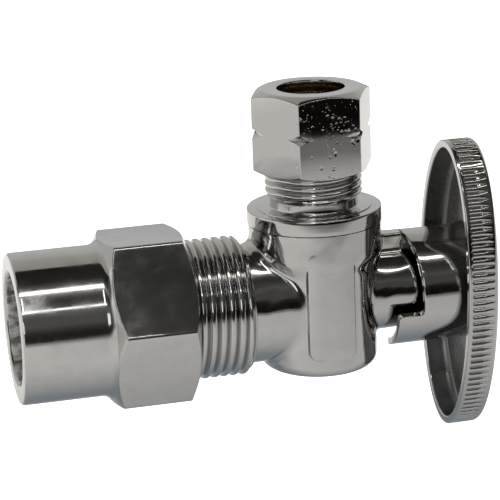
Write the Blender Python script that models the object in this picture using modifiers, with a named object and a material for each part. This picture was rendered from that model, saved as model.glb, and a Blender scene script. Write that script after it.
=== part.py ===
"""Quarter-turn angle stop valve with a 5/8 in compression inlet and a 3/8 in compression outlet.

Frame: the origin is the centre of the inlet nut's mouth, +X runs along the inlet towards the handle and
+Z runs up along the outlet. Driving dimensions are in millimetres and MM turns them into metres.
Stations along X are measured from the outlet's axis, which stands at X = BARREL_X.
Angles round the X axis are measured from -Y towards +Z, in degrees.
"""
import math

import bmesh
import bpy
from mathutils import Matrix, Vector

MM = 0.001

# Rounding of the turned shapes, in steps per full turn
FINE = 44
MEDIUM = 28
COARSE = 20

# Where things stand
BARREL_X = 45.42
HANDLE_TILT = 4.0

# Unified threads: outside radius and pitch
INLET_THREAD_R = 10.32
INLET_PITCH = 25.4 / 18
OUTLET_THREAD_R = 7.14
OUTLET_PITCH = 25.4 / 24
THREAD_DEPTH = 0.61

# Tube sockets
INLET_TUBE_R = 8.05
OUTLET_TUBE_R = 4.86

# Barrel of the forging, upright round the outlet's axis
BARREL_R = 8.75
BARREL_BOTTOM = -10.1
BARREL_ROUND = 1.6
SHOULDER_R = 9.8
SHOULDER_Z = 6.5
BODY_TOP = 11.5
CHAMBER_R = 6.6
CHAMBER_FLOOR = -7.0
ADAPTER_BORE_R = 7.7
ADAPTER_BORE_Z = 6.0
GLAND_R = 8.75
GLAND_Z = 10.3

# Inlet neck
NECK_R = 8.9
NECK_END = -11.5
STUB_END = -29.5
WATERWAY_R = 5.5
TUBE_STOP = -15.5
MOUTH_CONE_R = 8.75
MOUTH_CONE_LENGTH = 1.2

# Flat pad on the front of the barrel
PAD_LEFT = -4.1
PAD_RIGHT = 2.9
PAD_FRONT = -9.6
PAD_BOTTOM = -7.1
PAD_TOP = 7.0
PAD_ROUND = 1.3

# Stem boss and its stop lug
BOSS_R = 6.0
BOSS_END = 16.2
STEM_BORE_R = 3.7
POCKET_R = 4.6
POCKET_END = 8.8
LUG_HALF_WIDTH = 1.3
LUG_TOP = 8.7
LUG_START = 8.0
LUG_END = 13.2

# Outlet adapter
RING_R = 9.95
RING_BOTTOM = 11.75
RING_TOP = 13.98
LEDGE_R = 8.5
LEDGE_TOP = 14.15
UNDERCUT_R = 6.3
UNDERCUT_TOP = 14.9
ADAPTER_TOP = 25.2
SHANK_R = 7.4
SHANK_BOTTOM = 7.0
OUTLET_WATERWAY_R = 3.4
OUTLET_TUBE_STOP = 17.0
OUTLET_CONE_R = 5.5
OUTLET_CONE_Z = 24.4

# Ball and its seats
BALL_R = 5.6
PORT_R = 2.9
SLOT_FLOOR = 4.0
SLOT_WIDTH = 3.0
SEAT_R = 6.3
SEAT_NEAR = 3.7
SEAT_FAR = 5.7
SEAT_BORE_R = 3.0
SEAT_CONE_R = 4.6
SEAT_CONE_FAR = 5.05
SEAT_RING_MAJOR = 4.6
SEAT_RING_MINOR = 0.45
SEAT_RING_Z = 6.35
GLAND_RING_MAJOR = 8.05
GLAND_RING_MINOR = 0.5
GLAND_RING_Z = 10.95

# Stem
STEM_R = 3.5
BLADE_START = 4.2
BLADE_THICKNESS = 2.6
BLADE_HEIGHT = 6.8
COLLAR_R = 4.3
COLLAR_START = 6.5
COLLAR_END = 7.6
GROOVE_R = 2.4
GROOVE_WIDTH = 1.4
GROOVES = (10.9, 13.5)
STEM_RING_MAJOR = 3.03
STEM_RING_MINOR = 0.45
SQUARE_START = 16.5
SQUARE_END = 20.9
SQUARE_WIDTH = 4.8
SCREW_HOLE_R = 1.65
SCREW_HOLE_FLOOR = 15.5
WASHER_SPAN = (7.8, 8.6)
WASHER_RADII = (3.75, 4.4)

# Handle
OVAL_HALF_HEIGHT = 22.55
OVAL_HALF_WIDTH = 11.4
OVAL_WALL = 1.2
OVAL_DROP = 0.5
OVAL_BACK = 19.95
OVAL_FLOOR = 23.55
OVAL_FRONT = 24.8
OVAL_STEPS = 64
FRONT_ROUND = 1.7
HUB_R = 8.55
HUB_BORE_R = 7.45
HUB_FLOOR = 16.8
HUB_FILLET = 1.2
SKIRT_END = 10.3
CUT_OUT_END = 13.8
CUT_OUTS = ((-11.6, 106.0), (168.4, 286.0))
SQUARE_HOLE = 5.1
SCREW_SEAT = 21.2
SCREW_WELL_R = 4.6
CAP_RECESS_R = 6.2
CAP_RECESS = 24.0

# Handle fasteners
SCREW_R = 1.5
SCREW_END = 16.9
HEAD_R = 2.9
HEAD_SPAN = (22.15, 23.8)
HEX_SOCKET = 2.0
HEX_SOCKET_FLOOR = 22.9
FLAT_WASHER_RADII = (1.75, 4.2)
FLAT_WASHER_SPAN = (21.4, 22.0)
CAP_R = 5.9
CAP_BACK = 24.2
CAP_EDGE = 24.8
CAP_CROWN = 25.1
CAP_SKIRT_RADII = (3.5, 4.3)
CAP_SKIRT_END = 22.6

# Inlet nut, stations along X
INLET_HEX = 23.8
INLET_HEX_TURN = -3.65
INLET_NUT_END = -20.2
INLET_CORNERS = (-21.25, -31.1)
INLET_HEX_END = -32.3
INLET_GROOVE_R = 10.6
COLLAR_OUTER_R = 11.05
COLLAR_SHOULDER = -33.3
COLLAR_BEVEL = 0.45
INLET_NUT_BORE_R = 10.5
INLET_THREAD_FLOOR = -30.2
INLET_POCKET_R = 9.5
INLET_POCKET_END = -35.2
INLET_CONE_END = -36.8
INLET_MOUTH_R = 8.2
INLET_COUNTERSINK_R = 8.4
INLET_COUNTERSINK = 0.6

# Outlet nut, heights along Z
OUTLET_HEX = 15.875
OUTLET_HEX_TURN = -26.55
OUTLET_NUT_TOP = 31.62
OUTLET_NUT_BOTTOM = 19.3
OUTLET_CORNERS = (30.75, 20.15)
OUTLET_FACE_R = 7.35
OUTLET_GROOVE_Z = 25.6
OUTLET_GROOVE_R = 8.55
OUTLET_GROOVE_HALF = 0.8
OUTLET_NUT_BORE_R = 7.3
OUTLET_THREAD_TOP = 25.9
OUTLET_POCKET_R = 6.2
OUTLET_POCKET_TOP = 28.9
OUTLET_CONE_TOP = 30.4
OUTLET_MOUTH_R = 4.95

# Ferrules: outside radius and the stations of the two cones
INLET_FERRULE_R = 9.15
INLET_FERRULE = (-29.3, -30.6, -34.8, -36.2)
OUTLET_FERRULE_R = 5.85
OUTLET_FERRULE = (29.6, 28.6, 25.9, 25.0)
FERRULE_LIP = 0.25

CHROME = ("chrome", (0.80, 0.79, 0.77), 0.08, 1.0)
BRASS = ("brass", (0.78, 0.58, 0.26), 0.25, 1.0)
STEEL = ("steel", (0.62, 0.61, 0.60), 0.28, 1.0)
PTFE = ("ptfe", (0.90, 0.90, 0.87), 0.45, 0.0)
RUBBER = ("rubber", (0.03, 0.03, 0.03), 0.55, 0.0)


def clear_scene():
    for obj in list(bpy.data.objects):
        bpy.data.objects.remove(obj, do_unlink=True)


def make_collection(name):
    collection = bpy.data.collections.new(name)
    bpy.context.scene.collection.children.link(collection)
    return collection


def make_material(spec):
    name, colour, roughness, metallic = spec
    material = bpy.data.materials.get(name)
    if material is None:
        material = bpy.data.materials.new(name)
        material.use_nodes = True
        shader = material.node_tree.nodes["Principled BSDF"]
        shader.inputs["Base Color"].default_value = (*colour, 1.0)
        shader.inputs["Roughness"].default_value = roughness
        shader.inputs["Metallic"].default_value = metallic
    return material


def add_object(name, mesh):
    obj = bpy.data.objects.new(name, mesh)
    SHAPES.objects.link(obj)
    return obj


def lay_along_x(obj):
    """Turn an object so that its own +Z runs along +X of the valve."""
    obj.rotation_euler = (0.0, math.pi / 2, 0.0)


def stand_on_barrel(obj):
    """Move an object from the outlet's axis at the origin to its place along the inlet."""
    obj.location.x += BARREL_X * MM


def turned(name, profile, along_x, steps):
    """Solid of revolution from (radius, station) points that start at the high end of the outer side.

    A profile that starts and ends on the axis is a solid one, any other is closed to a ring.
    """
    on_axis = profile[0][0] == 0 and profile[-1][0] == 0
    mesh = bpy.data.meshes.new(name)
    points = [(radius * MM, 0.0, station * MM) for radius, station in profile]
    edges = [(i, i + 1) for i in range(len(points) - 1)]
    if not on_axis:
        edges.append((len(points) - 1, 0))
    mesh.from_pydata(points, edges, [])
    obj = add_object(name, mesh)
    screw = obj.modifiers.new("Turn", "SCREW")
    screw.angle = 2 * math.pi
    screw.steps = steps
    screw.render_steps = steps
    screw.use_merge_vertices = True
    screw.merge_threshold = 1e-6
    if along_x:
        lay_along_x(obj)
    stand_on_barrel(obj)
    return obj


def block(name, low, high):
    """Box between two corners in millimetres, measured from the outlet's axis."""
    size = Vector(high) - Vector(low)
    middle = (Vector(high) + Vector(low)) / 2
    bpy.ops.mesh.primitive_cube_add(size=MM)
    obj = bpy.context.object
    obj.name = name
    obj.data.transform(Matrix.Diagonal((*size, 1.0)))
    obj.location = middle * MM
    stand_on_barrel(obj)
    return obj


def cylinder(name, radius, low, high, along_x, steps):
    """Round bar between two stations, standing along the outlet's axis or lying along X."""
    bpy.ops.mesh.primitive_cylinder_add(vertices=steps, radius=radius * MM, depth=(high - low) * MM)
    obj = bpy.context.object
    obj.name = name
    middle = (low + high) / 2 * MM
    obj.location = (middle, 0, 0) if along_x else (0, 0, middle)
    if along_x:
        lay_along_x(obj)
    stand_on_barrel(obj)
    return obj


def hexagon(name, across_flats, low, high, along_x, turn_degrees):
    """Six-sided bar, turned about its own axis so that a flat or a corner faces where it should."""
    obj = cylinder(name, across_flats / math.sqrt(3), low, high, along_x, 6)
    obj.data.transform(Matrix.Rotation(math.radians(turn_degrees), 4, "Z"))
    return obj


def oval(name, half_height, half_width, low, high):
    """Elliptical bar lying along X, tall along Z, with its centre a little below the axis."""
    obj = cylinder(name, 1.0, low, high, True, OVAL_STEPS)
    obj.data.transform(Matrix.Diagonal((half_height, half_width, 1.0, 1.0)))
    obj.location.z -= OVAL_DROP * MM
    return obj


def ring(name, major, minor, station, along_x):
    """Rubber O-ring round the outlet's axis or round X."""
    bpy.ops.mesh.primitive_torus_add(
        major_radius=major * MM, minor_radius=minor * MM, major_segments=COARSE, minor_segments=6
    )
    obj = bpy.context.object
    obj.name = name
    obj.location = (station * MM, 0, 0) if along_x else (0, 0, station * MM)
    if along_x:
        lay_along_x(obj)
    stand_on_barrel(obj)
    return obj


def sector(name, start_degrees, end_degrees, radius, low, high):
    """Wedge of a disc lying along X, between two angles measured from -Y towards +Z."""
    curve = bpy.data.curves.new(name, "CURVE")
    curve.dimensions = "2D"
    curve.fill_mode = "BOTH"
    curve.extrude = (high - low) / 2 * MM
    spline = curve.splines.new("POLY")
    spline.use_cyclic_u = True
    steps = 16
    spline.points.add(steps + 1)
    for i in range(steps + 1):
        angle = math.radians(start_degrees + (end_degrees - start_degrees) * i / steps)
        across, up = -radius * math.cos(angle), radius * math.sin(angle)
        spline.points[i + 1].co = (-up * MM, across * MM, 0.0, 1.0)
    flat = add_object(name, curve)
    mesh = bpy.data.meshes.new_from_object(flat.evaluated_get(bpy.context.evaluated_depsgraph_get()))
    bpy.data.objects.remove(flat)
    work = bmesh.new()
    work.from_mesh(mesh)
    bmesh.ops.remove_doubles(work, verts=work.verts, dist=1e-7)
    bmesh.ops.recalc_face_normals(work, faces=work.faces)
    work.to_mesh(mesh)
    work.free()
    solid = add_object(name, mesh)
    solid.location = ((low + high) / 2 * MM, 0, 0)
    lay_along_x(solid)
    stand_on_barrel(solid)
    return solid


def round_edges(obj, width, segments, chosen):
    """Bevel the edges that satisfy a test on the places of their two ends."""
    work = bmesh.new()
    work.from_mesh(obj.data)
    edges = [edge for edge in work.edges if chosen(edge.verts[0].co, edge.verts[1].co)]
    bmesh.ops.bevel(
        work, geom=edges, offset=width * MM, segments=segments, profile=0.5, affect="EDGES"
    )
    work.to_mesh(obj.data)
    work.free()


def combine(target, tool, operation):
    """Join, cut or intersect a target with a helper, which is then hidden."""
    modifier = target.modifiers.new(tool.name, "BOOLEAN")
    modifier.operation = operation
    modifier.object = tool
    modifier.solver = "EXACT"
    tool.hide_render = True
    tool.display_type = "WIRE"
    for collection in list(tool.users_collection):
        collection.objects.unlink(tool)
    HELPERS.objects.link(tool)


def finish(obj, spec, parent=None):
    """Put a finished piece in the valve's collection with its material and shading."""
    for collection in list(obj.users_collection):
        collection.objects.unlink(obj)
    VALVE.objects.link(obj)
    obj.data.materials.clear()
    obj.data.materials.append(make_material(spec))
    obj.data.shade_smooth()
    obj.data.set_sharp_from_angle(angle=math.radians(30))
    if parent is not None:
        helpers = [modifier.object for modifier in obj.modifiers if modifier.type == "BOOLEAN"]
        for piece in [obj] + helpers:
            piece.parent = parent
            piece.location.x -= parent.location.x
    return obj


def thread(major_radius, pitch, top, bottom):
    """Profile points of the ridges of an outside thread, from the higher station down."""
    root = major_radius - THREAD_DEPTH * pitch
    points = []
    station = top
    while station - pitch / 2 > bottom:
        points.append((major_radius, station))
        points.append((root, station - pitch / 2))
        station -= pitch
    return points


def arc(radius_centre, station_centre, radius, start_degrees, end_degrees, steps):
    """Points of a round corner in a profile, angles measured from outwards towards the high end."""
    points = []
    for i in range(steps + 1):
        angle = math.radians(start_degrees + (end_degrees - start_degrees) * i / steps)
        points.append(
            (radius_centre + radius * math.cos(angle), station_centre + radius * math.sin(angle))
        )
    return points


def make_valve_body():
    bottom_corner = arc(BARREL_R - BARREL_ROUND, BARREL_BOTTOM + BARREL_ROUND, BARREL_ROUND, 0, -90, 4)
    barrel = turned(
        "valve_body",
        [(0, BODY_TOP), (SHOULDER_R, BODY_TOP), (SHOULDER_R, SHOULDER_Z), (BARREL_R, SHOULDER_Z - 0.6)]
        + bottom_corner
        + [(0, BARREL_BOTTOM)],
        False,
        FINE,
    )
    core_r = INLET_THREAD_R - THREAD_DEPTH * INLET_PITCH
    plain_r = (INLET_THREAD_R + core_r) / 2
    stub = turned(
        "neck",
        [(0, 0), (NECK_R, 0), (NECK_R, NECK_END), (core_r, NECK_END - 0.1)]
        + thread(INLET_THREAD_R, INLET_PITCH, NECK_END - 0.9, INLET_NUT_END - 0.8)
        + [(plain_r, INLET_NUT_END - 1.6), (plain_r, STUB_END + 0.6), (core_r, STUB_END), (0, STUB_END)],
        True,
        FINE,
    )
    boss = turned(
        "boss",
        [(0, BOSS_END), (BOSS_R - 0.3, BOSS_END), (BOSS_R, BOSS_END - 0.3)]
        + [(BOSS_R, 0), (0, 0)],
        True,
        MEDIUM,
    )
    pad = block("pad", (PAD_LEFT, PAD_FRONT, PAD_BOTTOM), (PAD_RIGHT, 0, PAD_TOP))
    round_edges(pad, PAD_ROUND, 3, lambda a, b: a.z < 0 and b.z < 0 and abs(a.x - b.x) < MM)
    lug = block("lug", (LUG_START, -LUG_HALF_WIDTH, 0), (LUG_END, LUG_HALF_WIDTH, LUG_TOP))
    for piece in (stub, boss, pad, lug):
        combine(barrel, piece, "UNION")

    chamber = turned(
        "chamber",
        [(0, BODY_TOP + 1), (GLAND_R, BODY_TOP + 1), (GLAND_R, GLAND_Z), (ADAPTER_BORE_R, GLAND_Z)]
        + [(ADAPTER_BORE_R, ADAPTER_BORE_Z), (CHAMBER_R, ADAPTER_BORE_Z), (CHAMBER_R, CHAMBER_FLOOR)]
        + [(0, CHAMBER_FLOOR)],
        False,
        MEDIUM,
    )
    inlet = turned(
        "inlet_bore",
        [(0, 0), (WATERWAY_R, 0), (WATERWAY_R, TUBE_STOP), (INLET_TUBE_R, TUBE_STOP)]
        + [(INLET_TUBE_R, STUB_END + MOUTH_CONE_LENGTH), (MOUTH_CONE_R, STUB_END)]
        + [(MOUTH_CONE_R, STUB_END - 1), (0, STUB_END - 1)],
        True,
        MEDIUM,
    )
    stem_bore = turned(
        "stem_bore",
        [(0, BOSS_END + 1), (STEM_BORE_R, BOSS_END + 1), (STEM_BORE_R, POCKET_END)]
        + [(POCKET_R, POCKET_END), (POCKET_R, 0), (0, 0)],
        True,
        COARSE,
    )
    for piece in (chamber, inlet, stem_bore):
        combine(barrel, piece, "DIFFERENCE")
    return finish(barrel, CHROME)


def make_outlet_adapter():
    core_r = OUTLET_THREAD_R - THREAD_DEPTH * OUTLET_PITCH
    plain_r = (OUTLET_THREAD_R + core_r) / 2
    outside = [(core_r, ADAPTER_TOP), (plain_r, ADAPTER_TOP - 0.4), (plain_r, OUTLET_NUT_BOTTOM + 0.9)]
    outside += thread(OUTLET_THREAD_R, OUTLET_PITCH, OUTLET_NUT_BOTTOM + 0.4, UNDERCUT_TOP)
    outside += [(UNDERCUT_R, UNDERCUT_TOP), (UNDERCUT_R, LEDGE_TOP), (LEDGE_R, LEDGE_TOP)]
    outside += [(LEDGE_R, RING_TOP), (RING_R - 0.25, RING_TOP), (RING_R, RING_TOP - 0.25)]
    outside += [(RING_R, RING_BOTTOM), (SHANK_R, RING_BOTTOM), (SHANK_R, SHANK_BOTTOM)]
    inside = [(OUTLET_WATERWAY_R, SHANK_BOTTOM), (OUTLET_WATERWAY_R, OUTLET_TUBE_STOP)]
    inside += [(OUTLET_TUBE_R, OUTLET_TUBE_STOP), (OUTLET_TUBE_R, OUTLET_CONE_Z)]
    inside += [(OUTLET_CONE_R, ADAPTER_TOP)]
    return finish(turned("outlet_adapter", outside + inside, False, MEDIUM), CHROME)


def make_seals():
    """Two seats that mirror each other about the ball, with the rubber ring behind each."""
    for name, side in (("outlet_seat", 1), ("lower_seat", -1)):
        profile = [(SEAT_R, side * SEAT_NEAR), (SEAT_R, side * SEAT_FAR), (SEAT_BORE_R, side * SEAT_FAR)]
        profile += [(SEAT_BORE_R, side * SEAT_CONE_FAR), (SEAT_CONE_R, side * SEAT_NEAR)]
        if side > 0:
            profile.reverse()
        finish(turned(name, profile, False, MEDIUM), PTFE)
        finish(ring(name + "_oring", SEAT_RING_MAJOR, SEAT_RING_MINOR, side * SEAT_RING_Z, False), RUBBER)
    finish(ring("adapter_oring", GLAND_RING_MAJOR, GLAND_RING_MINOR, GLAND_RING_Z, False), RUBBER)
    near, far = WASHER_SPAN
    inner, outer = WASHER_RADII
    washer = turned("stem_washer", [(outer, far), (outer, near), (inner, near), (inner, far)], True, COARSE)
    finish(washer, PTFE)


def make_ball(axle):
    bpy.ops.mesh.primitive_uv_sphere_add(radius=BALL_R * MM, segments=COARSE, ring_count=12)
    ball = bpy.context.object
    ball.name = "ball"
    stand_on_barrel(ball)
    combine(ball, cylinder("outlet_port", PORT_R, 0, BALL_R + 1, False, COARSE), "DIFFERENCE")
    combine(ball, cylinder("inlet_port", PORT_R, -BALL_R - 1, 1, True, COARSE), "DIFFERENCE")
    slot = block("slot", (SLOT_FLOOR, -SLOT_WIDTH / 2, -BALL_R), (BALL_R + 1, SLOT_WIDTH / 2, BALL_R))
    combine(ball, slot, "DIFFERENCE")
    return finish(ball, CHROME, axle)


def make_stem(axle):
    profile = [(0, SQUARE_START), (STEM_R, SQUARE_START)]
    for groove in sorted(GROOVES, reverse=True):
        near, far = groove - GROOVE_WIDTH / 2, groove + GROOVE_WIDTH / 2
        profile += [(STEM_R, far), (GROOVE_R, far), (GROOVE_R, near), (STEM_R, near)]
    profile += [(STEM_R, COLLAR_END), (COLLAR_R, COLLAR_END), (COLLAR_R, COLLAR_START), (0, COLLAR_START)]
    stem = turned("stem", profile, True, COARSE)
    half = BLADE_THICKNESS / 2
    tall = BLADE_HEIGHT / 2
    combine(stem, block("blade", (BLADE_START, -half, -tall), (COLLAR_START + 0.5, half, tall)), "UNION")
    side = SQUARE_WIDTH / 2
    square = block("square", (SQUARE_START - 0.5, -side, -side), (SQUARE_END, side, side))
    combine(stem, square, "UNION")
    hole = cylinder("screw_hole", SCREW_HOLE_R, SCREW_HOLE_FLOOR, SQUARE_END + 1, True, COARSE)
    combine(stem, hole, "DIFFERENCE")
    finish(stem, BRASS, axle)
    for name, groove in zip(("stem_oring_inner", "stem_oring_outer"), GROOVES):
        finish(ring(name, STEM_RING_MAJOR, STEM_RING_MINOR, groove, True), RUBBER, axle)


def make_handle(axle):
    handle = oval("handle", OVAL_HALF_HEIGHT, OVAL_HALF_WIDTH, OVAL_BACK, OVAL_FRONT)
    round_edges(handle, FRONT_ROUND, 3, lambda a, b: a.z > 0 and b.z > 0)
    hollow = oval(
        "hollow", OVAL_HALF_HEIGHT - OVAL_WALL, OVAL_HALF_WIDTH - OVAL_WALL, OVAL_BACK - 1, OVAL_FLOOR
    )
    combine(handle, hollow, "DIFFERENCE")
    inside_web = (OVAL_FLOOR + OVAL_FRONT) / 2
    foot = arc(HUB_R + HUB_FILLET, OVAL_FLOOR - HUB_FILLET, HUB_FILLET, 100, 180, 4)
    hub = turned(
        "hub",
        [(0, inside_web), (HUB_R + HUB_FILLET, inside_web)]
        + foot
        + [(HUB_R, SKIRT_END), (HUB_BORE_R, SKIRT_END), (HUB_BORE_R, HUB_FLOOR), (0, HUB_FLOOR)],
        True,
        FINE,
    )
    combine(handle, hub, "UNION")
    for start, end in CUT_OUTS:
        combine(handle, sector("cut_out", start, end, HUB_R + 3, SKIRT_END - 1, CUT_OUT_END), "DIFFERENCE")
    side = SQUARE_HOLE / 2
    combine(handle, block("drive", (HUB_FLOOR - 1, -side, -side), (SCREW_SEAT + 1, side, side)), "DIFFERENCE")
    well = turned(
        "screw_well",
        [(0, OVAL_FRONT + 1), (CAP_RECESS_R, OVAL_FRONT + 1), (CAP_RECESS_R, CAP_RECESS)]
        + [(SCREW_WELL_R, CAP_RECESS), (SCREW_WELL_R, SCREW_SEAT), (0, SCREW_SEAT)],
        True,
        MEDIUM,
    )
    combine(handle, well, "DIFFERENCE")
    return finish(handle, CHROME, axle)


def make_handle_fasteners(axle):
    near, far = HEAD_SPAN
    screw = turned(
        "handle_screw",
        [(0, far), (HEAD_R - 0.5, far), (HEAD_R, far - 0.6), (HEAD_R, near), (SCREW_R, near)]
        + [(SCREW_R, SCREW_END + 0.4), (SCREW_R - 0.4, SCREW_END), (0, SCREW_END)],
        True,
        COARSE,
    )
    socket = hexagon("hex_socket", HEX_SOCKET, HEX_SOCKET_FLOOR, far + 1, True, 0)
    combine(screw, socket, "DIFFERENCE")
    finish(screw, STEEL, axle)

    inner, outer = FLAT_WASHER_RADII
    near, far = FLAT_WASHER_SPAN
    washer = turned("screw_washer", [(outer, far), (outer, near), (inner, near), (inner, far)], True, COARSE)
    finish(washer, STEEL, axle)

    inner, outer = CAP_SKIRT_RADII
    cap = turned(
        "handle_cap",
        [(0, CAP_CROWN), (CAP_R * 0.55, CAP_CROWN - 0.06), (CAP_R - 0.2, CAP_EDGE), (CAP_R, CAP_EDGE - 0.2)]
        + [(CAP_R, CAP_BACK), (outer, CAP_BACK), (outer, CAP_SKIRT_END), (inner, CAP_SKIRT_END)]
        + [(inner, CAP_BACK), (0, CAP_BACK)],
        True,
        MEDIUM,
    )
    finish(cap, CHROME, axle)


def make_inlet_nut():
    right, left = INLET_CORNERS
    corner_r = INLET_HEX / math.sqrt(3) + 0.05
    flat_r = INLET_HEX / 2 - 0.2
    outside = [(flat_r, INLET_NUT_END), (corner_r, right), (corner_r, left), (flat_r, INLET_HEX_END)]
    outside += [(INLET_GROOVE_R, INLET_HEX_END - 0.1), (INLET_GROOVE_R, COLLAR_SHOULDER + 0.1)]
    outside += [(COLLAR_OUTER_R, COLLAR_SHOULDER), (COLLAR_OUTER_R, -BARREL_X + COLLAR_BEVEL)]
    outside += [(COLLAR_OUTER_R - COLLAR_BEVEL, -BARREL_X)]
    inside = [(INLET_COUNTERSINK_R, -BARREL_X), (INLET_MOUTH_R, -BARREL_X + INLET_COUNTERSINK)]
    inside += [(INLET_MOUTH_R, INLET_CONE_END), (INLET_POCKET_R, INLET_POCKET_END)]
    inside += [(INLET_POCKET_R, INLET_THREAD_FLOOR), (INLET_NUT_BORE_R, INLET_THREAD_FLOOR)]
    inside += [(INLET_NUT_BORE_R, INLET_NUT_END)]
    nut = turned("inlet_nut", outside + inside, True, FINE)
    bar = hexagon("inlet_hex", INLET_HEX, -BARREL_X - 2, INLET_NUT_END + 2, True, INLET_HEX_TURN)
    combine(nut, bar, "INTERSECT")
    return finish(nut, CHROME)


def make_outlet_nut():
    top, bottom = OUTLET_CORNERS
    corner_r = OUTLET_HEX / math.sqrt(3) + 0.1
    outside = [(OUTLET_FACE_R, OUTLET_NUT_TOP), (corner_r, top)]
    outside += [(corner_r, OUTLET_GROOVE_Z + OUTLET_GROOVE_HALF), (OUTLET_GROOVE_R, OUTLET_GROOVE_Z)]
    outside += [(corner_r, OUTLET_GROOVE_Z - OUTLET_GROOVE_HALF), (corner_r, bottom)]
    outside += [(OUTLET_FACE_R + 0.2, OUTLET_NUT_BOTTOM)]
    inside = [(OUTLET_NUT_BORE_R, OUTLET_NUT_BOTTOM), (OUTLET_NUT_BORE_R, OUTLET_THREAD_TOP)]
    inside += [(OUTLET_POCKET_R, OUTLET_THREAD_TOP), (OUTLET_POCKET_R, OUTLET_POCKET_TOP)]
    inside += [(OUTLET_MOUTH_R, OUTLET_CONE_TOP), (OUTLET_MOUTH_R, OUTLET_NUT_TOP)]
    nut = turned("outlet_nut", outside + inside, False, FINE)
    bar = hexagon(
        "outlet_hex", OUTLET_HEX, OUTLET_NUT_BOTTOM - 2, OUTLET_NUT_TOP + 2, False, OUTLET_HEX_TURN
    )
    combine(nut, bar, "INTERSECT")
    return finish(nut, CHROME)


def make_ferrule(name, stations, radius, bore, along_x):
    """Barrel-shaped compression sleeve with a cone at each end, stations from the high end down."""
    high, high_shoulder, low_shoulder, low = stations
    lip = bore + FERRULE_LIP
    profile = [(lip, high), (radius, high_shoulder), (radius, low_shoulder), (lip, low)]
    profile += [(bore, low), (bore, high)]
    return finish(turned(name, profile, along_x, MEDIUM), BRASS)


clear_scene()
VALVE = make_collection("angle_stop_valve")
HELPERS = make_collection("cutters")
SHAPES = bpy.context.scene.collection

axle = add_object("handle_axis", None)
axle.location = (BARREL_X * MM, 0, 0)

make_valve_body()
make_outlet_adapter()
make_seals()
make_ball(axle)
make_stem(axle)
make_handle(axle)
make_handle_fasteners(axle)
make_inlet_nut()
make_ferrule("inlet_ferrule", INLET_FERRULE, INLET_FERRULE_R, INLET_TUBE_R, True)
make_outlet_nut()
make_ferrule("outlet_ferrule", OUTLET_FERRULE, OUTLET_FERRULE_R, OUTLET_TUBE_R, False)

axle.rotation_euler = (math.radians(HANDLE_TILT), 0, 0)
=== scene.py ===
"""Looks of the angle stop valve: fine surfaces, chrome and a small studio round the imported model.

All shapes are given in millimetres from the point where the inlet's axis crosses the outlet's axis:
x runs along the inlet towards the handle and z up along the outlet. Angles round X are measured
from -Y towards +Z, and angles round Z from +X towards +Y. MM and ORIGIN turn these into places in
the frame.
"""
import math

import bmesh
import bpy
import numpy as np
from mathutils import Matrix, Vector


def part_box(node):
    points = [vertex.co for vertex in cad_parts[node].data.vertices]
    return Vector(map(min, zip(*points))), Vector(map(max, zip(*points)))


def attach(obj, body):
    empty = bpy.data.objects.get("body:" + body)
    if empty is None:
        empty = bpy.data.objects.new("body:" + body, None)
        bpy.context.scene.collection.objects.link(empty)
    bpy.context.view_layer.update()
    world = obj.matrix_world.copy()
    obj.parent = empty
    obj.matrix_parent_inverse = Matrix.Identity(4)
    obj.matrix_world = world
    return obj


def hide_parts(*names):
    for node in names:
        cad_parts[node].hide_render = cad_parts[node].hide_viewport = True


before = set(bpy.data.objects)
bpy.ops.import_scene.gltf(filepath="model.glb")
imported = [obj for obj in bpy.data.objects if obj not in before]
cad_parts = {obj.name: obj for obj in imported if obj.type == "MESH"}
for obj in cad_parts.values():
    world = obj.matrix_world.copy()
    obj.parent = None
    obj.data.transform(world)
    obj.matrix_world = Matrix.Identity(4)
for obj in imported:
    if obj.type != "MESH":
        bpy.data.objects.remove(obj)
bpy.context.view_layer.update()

MM = 0.001


def middle_of(node):
    """Middle of a CAD node's box, in metres."""
    low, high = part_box(node)
    return (low + high) / 2


ORIGIN = np.array([middle_of("outlet_adapter").x, 0.0, 0.0])

# ---------------------------------------------------------------- dimensions, in millimetres

# Columns in a whole turn: large round pieces, small ones, and what only cuts or hides inside
FINE_TURN = 288
SMALL_TURN = 144
PLAIN_TURN = 96

# Forging
BARREL_R = 8.75
BARREL_HALF_DEPTH = 9.25
BARREL_BOTTOM = -10.1
BARREL_ROUND = 1.6
SHOULDER_R = 9.8
SHOULDER_Z = 6.5
BODY_TOP = 11.5
NECK_HALF_HEIGHT = 8.9
NECK_HALF_WIDTH = 8.35
NECK_END = -11.5
BOSS_R = 6.0
BOSS_END = 16.2
# Flat pad on the barrel's front: left, right, bottom and top
PAD = (-3.75, 3.25, -7.1, 9.0)
PAD_FRONT = 9.6
PAD_CORNER = 1.3
# Lug on top of the boss, from its start to its end along X
LUG_SPAN = (7.0, 13.2)
LUG_HALF_WIDTH = 1.3
LUG_TOP = 8.7
TOP_CUT_R = 11.5
CHAMBER_R = 7.7
STEM_BORE_R = 3.7
NET_STEP = 0.2
# Unevenness of the forging as plane waves: radians per millimetre along X, Y and Z, the starting
# angle and the height
FORGING_WAVES = (
    (1.1, 0.5, 0.8, 0.4, 0.010),
    (-0.7, 1.2, 1.0, 1.9, 0.008),
    (0.4, -1.0, 1.5, 3.1, 0.007),
    (1.9, 1.3, -1.2, 0.8, 0.005),
    (-1.4, 1.6, 1.9, 2.2, 0.004),
    (2.6, -1.1, 1.3, 4.0, 0.003),
    (1.2, 2.4, -2.3, 5.2, 0.0025),
    (-2.9, -0.8, 2.6, 1.3, 0.002),
)

# Threads: outside radius and pitch, and for both the depth as a share of the pitch
INLET_THREAD = (10.32, 25.4 / 18)
OUTLET_THREAD = (7.14, 25.4 / 24)
THREAD_DEPTH = 0.5
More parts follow.
